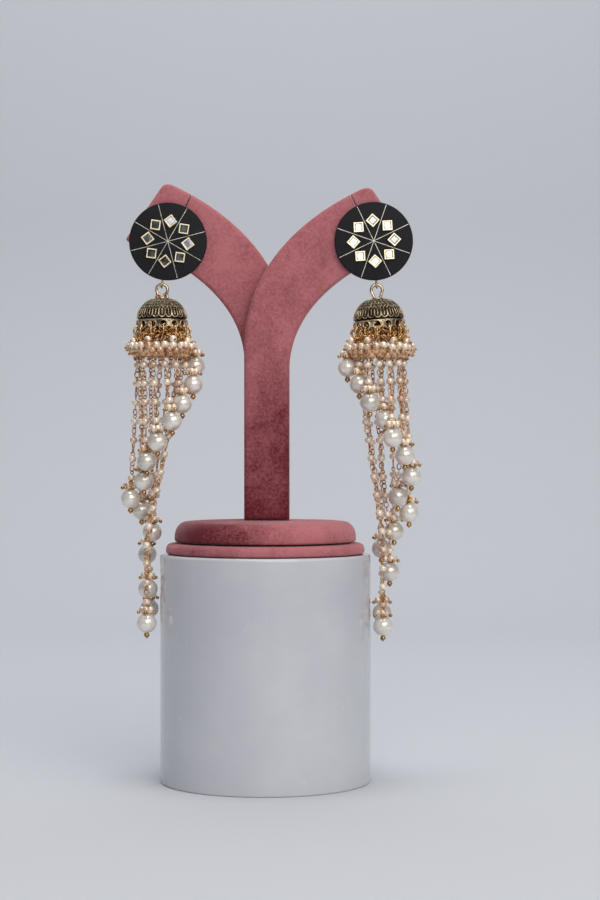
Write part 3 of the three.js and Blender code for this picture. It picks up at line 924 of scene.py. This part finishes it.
def domeBand():
    panel = bandPanel()
    wire = domeRelief["holeBorder"]
    border = flattened(turnedRing(earring["holeRadius"] + wire * 0.9, wire, 32), 0.7)
    chunks = []
    for number in range(earring["holeCount"]):
        turn = holeTurn(number)
        chunks.append((wrapped(panel, turn), 3))
        chunks.append((wrapped(border, turn), 3))
        between = turn + math.pi / earring["holeCount"]
        spot = Matrix.Translation((earring["domeRadius"] * math.cos(between),
                                   earring["domeRadius"] * math.sin(between),
                                   earring["bandHeight"] - domeRelief["studDrop"]))
        chunks.append((moved(ball(domeRelief["stud"], 2), spot), 0))
    top = Matrix.Translation((0, 0, earring["bandHeight"] - 0.1))
    chunks.append((moved(turnedRing(earring["domeRadius"] - 0.06, 0.16), top), 3))
    return chunks


def domePetals():
    # hanging petals round the foot of the crown, each with a tongue inside
    chunks = []
    foot = crownFoot + domeRelief["petalRise"]
    width = 2 * math.pi / domeRelief["petals"]
    bendRadius = width / 2 * earring["domeRadius"]
    height, half, tongueFoot = (domeRelief[key] for key in ("petalHeight", "petalHalf", "tongueFoot"))
    left = [(-half, foot + height - (height - bendRadius) * share)
            for share in np.linspace(0, domeRelief["petalSide"], 5)]
    bend = [(-half * math.cos(turn), foot + bendRadius * (1 - math.sin(turn)))
            for turn in np.linspace(0, math.pi, 13)]
    right = [(-across, level) for across, level in left[::-1]]
    for number in range(domeRelief["petals"]):
        middle = number * width
        line = [crownPoint(middle + across * width, level, domeRelief["petalProud"])
                for across, level in left + bend + right]
        chunks.append((wireAlong(line, domeRelief["petalWire"], 6), 1))
        tongue = [crownPoint(middle, foot + tongueFoot + (height - tongueFoot) * share,
                             domeRelief["tongueProud"]) for share in np.linspace(0, 1, 6)]
        chunks.append((wireAlong(tongue, domeRelief["tongueWire"], 6), 1))
        chunks.append((moved(ball(domeRelief["tongueWire"], 2), Matrix.Translation(tongue[0])), 1))
    return chunks


def domeCrown():
    # rows of chevrons with granules between them, from the petals to the top
    chunks, seeds = [], []
    rise = earring["domeHeight"] - crownFoot
    low = (domeRelief["petalHeight"] + domeRelief["chevronFoot"]) / rise
    marks = np.linspace(0, 1, domeRelief["chevronRows"] + 1) ** domeRelief["rowCrowding"]
    levels = crownFoot + rise * (low + (domeRelief["chevronTop"] - low) * marks)
    for row in range(domeRelief["chevronRows"]):
        below, above = levels[row] + domeRelief["rowGap"], levels[row + 1] - domeRelief["rowGap"]
        reach = float(crownRadius((below + above) / 2))
        count = max(domeRelief["fewestChevrons"], int(2 * math.pi * reach / domeRelief["chevronPitch"]))
        zigzag = []
        for step in range(2 * count):
            turn = (step + row) * math.pi / count
            zigzag.append((turn, below if step % 2 == 0 else above))
        for layer in (0.0, domeRelief["chevronLayer"]):
            line = []
            for at, (turn, level) in enumerate(zigzag):
                nextTurn, nextLevel = zigzag[(at + 1) % len(zigzag)]
                nextTurn += 2 * math.pi if nextTurn < turn else 0
                for share in (0.0, 0.34, 0.67):
                    height = level + (nextLevel - level) * share + layer
                    height = min(height, above + 0.05)
                    line.append(crownPoint(turn + (nextTurn - turn) * share, height,
                                           domeRelief["chevronProud"]))
            chunks.append((wireAlong(line, domeRelief["chevronWire"], 5, closed=True), 2))
        beads = int(2 * math.pi * float(crownRadius(levels[row])) / domeRelief["granulePitch"])
        for number in range(beads):
            seeds.append(Matrix.Translation(crownPoint(
                number * 2 * math.pi / beads, levels[row] - domeRelief["granuleDrop"],
                domeRelief["granuleProud"])))
    chunks.append((stamped(ball(domeRelief["granule"], 2), seeds), 2))
    return chunks


def makeDome(side):
    outward = sides[side]["outward"]
    mirror = Matrix.Diagonal((outward, 1, 1, 1))
    place = inMillimetres(crownPlace(side)) @ Matrix.Translation((0, 0, rimLevel)) @ mirror
    shells = [(shell, 0) for shell in domeShell()]
    piece = makePiece(side + "Dome", shells + domeBand() + domePetals() + domeCrown(),
                      [shadedGold, antiqueGold, reliefGold, bandGold], place)
    finishPiece(piece, side + "_drop", "antique_gold", side + "_dome")


# Strands: jump ring, small pearls on wire links, large pearl, gold ball and a small cluster

chain = {
    "ringRadius": 1.9, "ringWire": 0.35, "ringPlay": 0.3, "plumb": 8.2, "pitch": 7.75,
    "pearlRadius": 1.6, "flat": 0.9, "eyeRadius": 0.78, "eyeWire": 0.23, "linkWidth": 0.98,
    "linkWire": 0.25, "shortestLink": 0.75, "firstLink": 0.6, "lastLap": 0.35,
    "baseClearance": 7.0, "elbowLevel": 101.0,
}
drop = {
    "pearlRadius": 4.0, "ballRadius": 1.12, "ballDrop": 4.85, "tailWire": 0.24, "tailEnd": 6.35,
    "clusterHead": 6.4, "clusterSplay": 62.0, "clusterPearl": 1.5, "clusterBall": 0.74,
    "clusterCount": 4, "clusterTries": 16, "clusterApart": 62, "clusterRoom": 0.05,
    "headRings": 9, "headRing": 1.0, "headWire": 0.29, "headDepth": 2.0, "headReach": 0.8,
}
strandCount = earring["holeCount"]
ringLevel = (rimLevel + earring["holeHeight"] - earring["holeRadius"] + chain["ringPlay"]
             + chain["ringWire"] - chain["ringRadius"])


def strandRoute(side, number):
    # from the foot of the jump ring to the middle of the large pearl
    outward = sides[side]["outward"]
    tip = solidPoints(f"{side}_strand_{number + 1:02d}")
    tip = tip[np.argmin(tip[:, 2])]
    pearl = np.array([tip[0], tip[1], tip[2] + drop["tailEnd"]])
    turn = holeTurn(number)
    crown = inMillimetres(crownPlace(side))
    ring = crown @ Vector((outward * rimMiddle * math.cos(turn), rimMiddle * math.sin(turn), ringLevel))
    start = np.array(ring) - [0, 0, chain["ringRadius"]]
    points = [start, start - [0, 0, chain["plumb"]]]
    if pearl[2] + drop["pearlRadius"] < chain["elbowLevel"] - chain["baseClearance"] / 2:
        points.append(np.array([pearl[0], pearl[1], chain["elbowLevel"]]))
    points.append(pearl)
    return np.array(points)


def chainUnit():
    # small pearl with an eye at each end, along Z
    eyeMiddle = chain["pearlRadius"] * chain["flat"] + chain["eyeRadius"]
    pearl = flattened(ball(chain["pearlRadius"], 3), chain["flat"])
    eye = loopWire(chain["eyeRadius"], chain["eyeWire"], 14, 6)
    eyes = stamped(eye, [Matrix.Translation((0, 0, level)) for level in (eyeMiddle, -eyeMiddle)])
    return pearl, eyes


def dangle(pearlRadius, ballRadius):
    # head pin along Z: eye, small pearl and gold ball at the far end
    reach = 0.5 + pearlRadius
    pearl = moved(flattened(ball(pearlRadius, 3), chain["flat"]), Matrix.Translation((0, 0, reach)))
    tipReach = reach + pearlRadius * chain["flat"] + ballRadius * 0.8
    tipBall = moved(ball(ballRadius, 3), Matrix.Translation((0, 0, tipReach)))
    eye = loopWire(0.55, 0.18, 12, 6)
    return pearl, tipBall, eye


def clusterTurns(pearl, others, number):
    # turns round the large pearl that leave its neighbours free
    splay = math.radians(drop["clusterSplay"])
    head = pearl + [0, 0, drop["clusterHead"]]
    free = []
    for step in range(drop["clusterTries"]):
        turn = (step + 0.37 * number) * 2 * math.pi / drop["clusterTries"]
        direction = np.array([math.sin(splay) * math.cos(turn), math.sin(splay) * math.sin(turn),
                              -math.cos(splay)])
        room = 9.0
        for reach, radius in ((2.0, drop["clusterPearl"]), (4.1, drop["clusterBall"])):
            spot = head + direction * reach
            for middle, size in others:
                room = min(room, np.linalg.norm(middle - spot, axis=-1).min() - radius - size)
        free.append((room, turn))
    chosen = []
    for room, turn in sorted(free, reverse=True):
        apart = [abs((turn - other + math.pi) % (2 * math.pi) - math.pi) for other in chosen]
        if room > drop["clusterRoom"] and all(gap > math.radians(drop["clusterApart"]) for gap in apart):
            chosen.append(turn)
        if len(chosen) == drop["clusterCount"]:
            break
    return chosen


def jumpRing(side, number):
    # wire ring through its hole of the rim
    turn = holeTurn(number)
    facing = Matrix.Rotation(turn if sides[side]["outward"] > 0 else math.pi - turn, 4, "Z")
    seat = inMillimetres(crownPlace(side)) @ facing @ Matrix.Translation((rimMiddle, 0, ringLevel))
    return moved(loopWire(chain["ringRadius"], chain["ringWire"], 30, 10), seat)


def chainChunks(points, topEye, random):
    # pearls and links spaced evenly from the jump ring to the eye over the large pearl
    total = pathMarks(points)[-1]
    length = total - topEye + chain["lastLap"]
    count = max(1, round((length - 1.2) / chain["pitch"]))
    pitch = (length - 1.0) / count
    units, links = [], []
    for step in range(count):
        at = chain["firstLink"] + pitch * (step + 0.5)
        spots = alongPath(points, np.array([at, at + 0.5]))
        units.append(aimed(spots[0], spots[0] - spots[1], random.uniform(0, math.pi)))
    for step in range(count + 1):
        at = chain["firstLink"] + pitch * step
        spots = alongPath(points, np.minimum([max(at, 0.01), at + 0.5], total))
        links.append(aimed(spots[0], spots[0] - spots[1] + [0, 0, 1e-6], random.uniform(0, math.pi)))
    unitPearl, unitEyes = chainUnit()
    eyeFar = chain["pearlRadius"] * chain["flat"] + 2 * chain["eyeRadius"]
    linkHalf = max(pitch / 2 - eyeFar + 2 * chain["eyeWire"], chain["shortestLink"])
    link = loopWire(chain["linkWidth"], chain["linkWire"], 16, 6, stretch=linkHalf / chain["linkWidth"])
    return [(stamped(unitPearl, units), 1), (stamped(unitEyes, units), 0), (stamped(link, links), 0)]


def pearlChunks(pearl, topEye):
    # large pearl, its eye, and the ball and wire end below it
    place = Matrix.Translation(pearl)
    eye = loopWire(chain["eyeRadius"], chain["eyeWire"], 16, 6)
    ballPlace = place @ Matrix.Translation((0, 0, -drop["ballDrop"]))
    tail = wireAlong([pearl - [0, 0, drop["pearlRadius"] - 0.2], pearl - [0, 0, drop["tailEnd"] - 0.05]],
                     drop["tailWire"], 8)
    return [(moved(ball(drop["pearlRadius"], 4), place), 2),
            (moved(eye, place @ Matrix.Translation((0, 0, topEye))), 0),
            (moved(ball(drop["ballRadius"], 3), ballPlace), 4), (tail, 3)]


def clusterChunks(pearl, number, routes, random):
    # small pearls and gold rings over the large pearl
    others = []
    for other, points in enumerate(routes):
        if other != number:
            legs = alongPath(points, np.linspace(0, pathMarks(points)[-1], 90))
            others += [(points[-1][None], drop["pearlRadius"]), (legs, chain["pearlRadius"])]
    splay = math.pi - math.radians(drop["clusterSplay"])
    head = Matrix.Translation(pearl + [0, 0, drop["clusterHead"]])
    spots = [head @ Matrix.Rotation(turn, 4, "Z") @ Matrix.Rotation(splay, 4, "Y")
             for turn in clusterTurns(pearl, others, number)]
    chunks = []
    if spots:
        unit = dangle(drop["clusterPearl"], drop["clusterBall"])
        chunks = [(stamped(chunk, spots), material) for chunk, material in zip(unit, (1, 4, 3))]
    rings = []
    for step in range(drop["headRings"]):
        level = drop["clusterHead"] - random.uniform(0, drop["headDepth"])
        rings.append(tumbledRing(random, pearl + [0, 0, level], step * 2 * math.pi / drop["headRings"],
                                 drop["headRing"] * drop["headReach"]))
    chunks.append((stamped(loopWire(drop["headRing"], drop["headWire"], 14, 6), rings), 3))
    return chunks


def makeStrand(side, number, routes, random):
    points = routes[number]
    topEye = drop["pearlRadius"] + chain["eyeRadius"]
    chunks = [(jumpRing(side, number), 3)] + chainChunks(points, topEye, random)
    chunks += pearlChunks(points[-1], topEye) + clusterChunks(points[-1], number, routes, random)
    piece = makePiece(f"{side}Strand{number + 1:02d}", chunks,
                      [champagne, smallPearl, largePearl, ringGold, beadGold])
    finishPiece(piece, side + "_drop", "pearl_strand", f"{side}_strand_{number + 1:02d}")


# Ring of small pearls under the rim

rimCluster = {
    "pearl": 1.6, "ball": 0.52, "jitter": 0.3, "spacing": 0.12, "lean": 9,
    "linkRings": 28, "linkRing": 1.0, "linkWire": 0.24, "linkReach": 11.2, "linkRise": (-0.9, 0.5),
    "hangers": 190, "hangerRing": 1.3, "hangerWire": 0.32, "hangerReach": (7.4, 9.4),
    "hangerRise": (-0.2, 5.6),
    # each tier: count, radius of its heads, depth under the top of the solid,
    # splay from straight down, and its pearls' material
    "tiers": [(8, 10.4, 1.2, 80.0, 1), (25, 11.6, 2.5, 52.0, 1), (25, 11.1, 4.1, 38.0, 2),
              (24, 10.5, 5.0, 16.0, 2)],
}


def makeRimPearls(side, random):
    low, high = (np.array(corner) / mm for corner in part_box(side + "_rim_pearls"))
    across, deep = (low[:2] + high[:2]) / 2
    jitter, spacing, tilt = rimCluster["jitter"], rimCluster["spacing"], rimCluster["lean"]
    chunks, rings, hangers = [], [], []
    pearl, ballEnd, eye = dangle(rimCluster["pearl"], rimCluster["ball"])
    for count, radius, depth, splay, material in rimCluster["tiers"]:
        phase = random.uniform(0, math.pi)
        spots = []
        for number in range(count):
            turn = phase + (number + random.uniform(-spacing, spacing)) * 2 * math.pi / count
            lean = math.pi - math.radians(splay + random.uniform(-tilt, tilt))
            level = high[2] - depth + random.uniform(-jitter, jitter)
            spot = Matrix.Translation((across, deep, level)) @ Matrix.Rotation(turn, 4, "Z")
            head = Matrix.Translation((radius + random.uniform(-jitter, jitter), 0, 0))
            spots.append(spot @ head @ Matrix.Rotation(lean, 4, "Y"))
        chunks += [(stamped(pearl, spots), material), (stamped(ballEnd, spots), 3),
                   (stamped(eye, spots), 0)]
    # rings that tie the pearls together, and those that carry them from inside the rim
    for number in range(rimCluster["linkRings"]):
        turn = (number + 0.5) * 2 * math.pi / rimCluster["linkRings"]
        level = high[2] + random.uniform(*rimCluster["linkRise"])
        rings.append(tumbledRing(random, (across, deep, level), turn, rimCluster["linkReach"]))
    for number in range(rimCluster["hangers"]):
        turn = number * 2 * math.pi / rimCluster["hangers"]
        level = high[2] + random.uniform(*rimCluster["hangerRise"])
        reach = random.uniform(*rimCluster["hangerReach"])
        hangers.append(tumbledRing(random, (across, deep, level), turn, reach))
    link = loopWire(rimCluster["linkRing"], rimCluster["linkWire"], 18, 8)
    hanger = loopWire(rimCluster["hangerRing"], rimCluster["hangerWire"], 16, 6)
    chunks += [(stamped(link, rings), 0), (stamped(hanger, hangers[::2]), 0),
               (stamped(hanger, hangers[1::2]), 3)]
    piece = makePiece(side + "RimPearls", chunks, [ringGold, smallPearl, shadedPearl, beadGold])
    finishPiece(piece, side + "_drop", "pearl_strand", side + "_rim_pearls")


def tumbledRing(random, middle, turn, reach):
    roll = Matrix.Rotation(random.uniform(0, math.pi), 4, "X")
    sway = Matrix.Rotation(random.uniform(-1, 1), 4, "Z")
    return (Matrix.Translation(middle) @ Matrix.Rotation(turn, 4, "Z")
            @ Matrix.Translation((reach, 0, 0)) @ roll @ sway)


def makeEarring(side, seed):
    random = np.random.default_rng(seed)
    makeStudDisc(side)
    makeInlay(side)
    makeStones(side)
    makeBail(side)
    makeDome(side)
    makeRimPearls(side, random)
    routes = [strandRoute(side, number) for number in range(strandCount)]
    for number in range(strandCount):
        makeStrand(side, number, routes, random)
    print(side, "earring ready")


makeEarring("left", 7)
makeEarring("right", 11)
